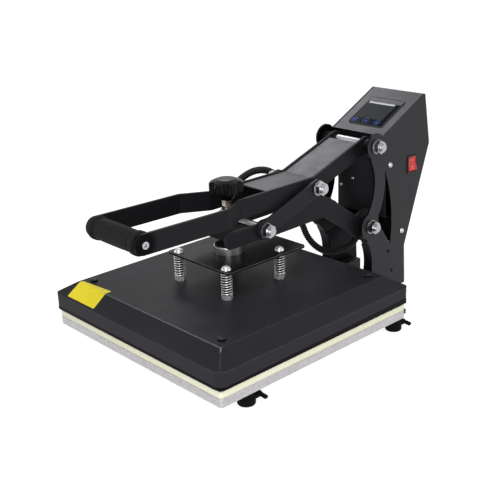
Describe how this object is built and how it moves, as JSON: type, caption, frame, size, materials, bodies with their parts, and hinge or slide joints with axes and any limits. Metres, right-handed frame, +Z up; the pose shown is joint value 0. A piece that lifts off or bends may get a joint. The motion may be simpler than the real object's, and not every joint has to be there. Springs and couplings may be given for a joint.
{
  "type": "flat heat press",
  "caption": "Clamshell flat heat press: a toggle lever shuts a spring-hung heating platen on a padded plate; a knob sets the pressure and a sloped box holds the display.",
  "frame": {"origin": "on the table, under the middle of the press's width and length", "axes": "+Z up, +Y from the handle's grip to the control box at the rear, +X to the right, the side with the power switch"},
  "size_m": [0.388, 0.6332, 0.33],
  "materials": {
    "frame_paint": "satin",
    "cover_paint": "satin",
    "lever_paint": "satin",
    "plate_alu": "milled",
    "heater_alu": "coated",
    "pad_silicone": "matte",
    "foot_rubber": "matte",
    "grip_foam": "soft",
    "black_plastic": "fine grain",
    "knob_plastic": "gloss",
    "rocker_red": "gloss",
    "display_glass": "gloss",
    "chrome": "polished",
    "steel": "turned",
    "brass": "plated"
  },
  "bodies": {
    "frame": {"lower_platen": "plate_alu", "silicone_pad": "pad_silicone", "base_rail_right": "frame_paint", "base_rail_left": "frame_paint", "cross_bar_front": "frame_paint", "cross_bar_rear": "frame_paint", "foot_front_right": "foot_rubber", "foot_front_left": "foot_rubber", "foot_rear_right": "foot_rubber", "foot_rear_left": "foot_rubber", "frame_side_right": "frame_paint", "frame_side_left": "frame_paint", "control_cover": "frame_paint", "box_front_panel": "frame_paint", "display_bezel": "black_plastic", "display_glass": "display_glass", "switch_rim": "black_plastic", "side_screws": "chrome", "top_pivot_bolt": "chrome", "top_spacers": "chrome", "top_sleeve": "chrome", "low_pivot_bolt": "chrome", "low_spacers": "chrome", "low_sleeve": "steel", "box_gland": "black_plastic", "mains_gland": "black_plastic", "heater_conduit": "black_plastic"},
    "handle": {"lever_side_right": "lever_paint", "lever_side_left": "lever_paint", "lever_top_plate": "lever_paint", "grip_tube": "steel", "foam_grip": "grip_foam", "grip_bolts": "chrome", "mid_pivot_bolts": "chrome"},
    "links": {"toggle_link_right": "lever_paint", "toggle_link_left": "lever_paint", "front_pivot_bolts": "chrome"},
    "arm": {"arm_side_right": "frame_paint", "arm_side_left": "frame_paint", "yoke_block": "frame_paint", "arm_front_shaft": "steel"},
    "hanger": {"hanger_plate": "frame_paint", "thrust_collar": "steel", "spring_front_right": "chrome", "spring_front_left": "chrome", "spring_rear_right": "chrome", "spring_rear_left": "chrome"},
    "knob": {"pressure_screw": "chrome", "pressure_knob": "knob_plastic", "lock_nut": "brass"},
    "platen": {"heating_plate": "heater_alu", "platen_cover": "cover_paint", "cover_screws": "black_plastic", "spring_bolts": "chrome", "platen_gland": "black_plastic"},
    "rocker": {"switch_rocker": "rocker_red"}
  },
  "joints": [
    {"name": "arm_hinge", "type": "hinge", "parent": "frame", "child": "arm", "pos_m": [0, 0.16285, 0.129], "axis": [-1, 0, 0], "range_deg": [0, 50], "deforming": ["heater_conduit"]},
    {"name": "handle_hinge", "type": "hinge", "parent": "frame", "child": "handle", "pos_m": [0, 0.17385, 0.2635], "axis": [-1, 0, 0], "range_deg": [0, 104]},
    {"name": "link_hinge", "type": "hinge", "parent": "handle", "child": "links", "pos_m": [0, 0.047, 0.22032], "axis": [-1, 0, 0], "range_deg": [-113.5, 0]},
    {"name": "pressure_slide", "type": "slide", "parent": "arm", "child": "hanger", "axis": [0, 0, 1], "range_m": [0, 0.006], "deforming": ["heater_conduit"]},
    {"name": "knob_spin", "type": "hinge", "parent": "hanger", "child": "knob", "pos_m": [0, -0.10315, 0.2482], "axis": [0, 0, 1], "range_deg": [0, 1081]},
    {"name": "platen_float", "type": "slide", "parent": "hanger", "child": "platen", "axis": [0, 0, 1], "range_m": [0, 0.004], "stiffness_N_per_m": 12000, "springref_m": -0.004, "deforming": ["spring_front_right", "spring_front_left", "spring_rear_right", "spring_rear_left", "heater_conduit"]},
    {"name": "switch_rock", "type": "hinge", "parent": "frame", "child": "rocker", "pos_m": [0.054, 0.26885, 0.215], "axis": [0, 1, 0], "range_deg": [0, 16]}
  ],
  "couplings": [
    {"joint": "handle_hinge", "follows": "arm_hinge", "ratio": 2.0716},
    {"joint": "link_hinge", "follows": "arm_hinge", "ratio": -2.2564},
    {"joint": "knob_spin", "follows": "pressure_slide", "rad_per_m": 3141.6}
  ]
}
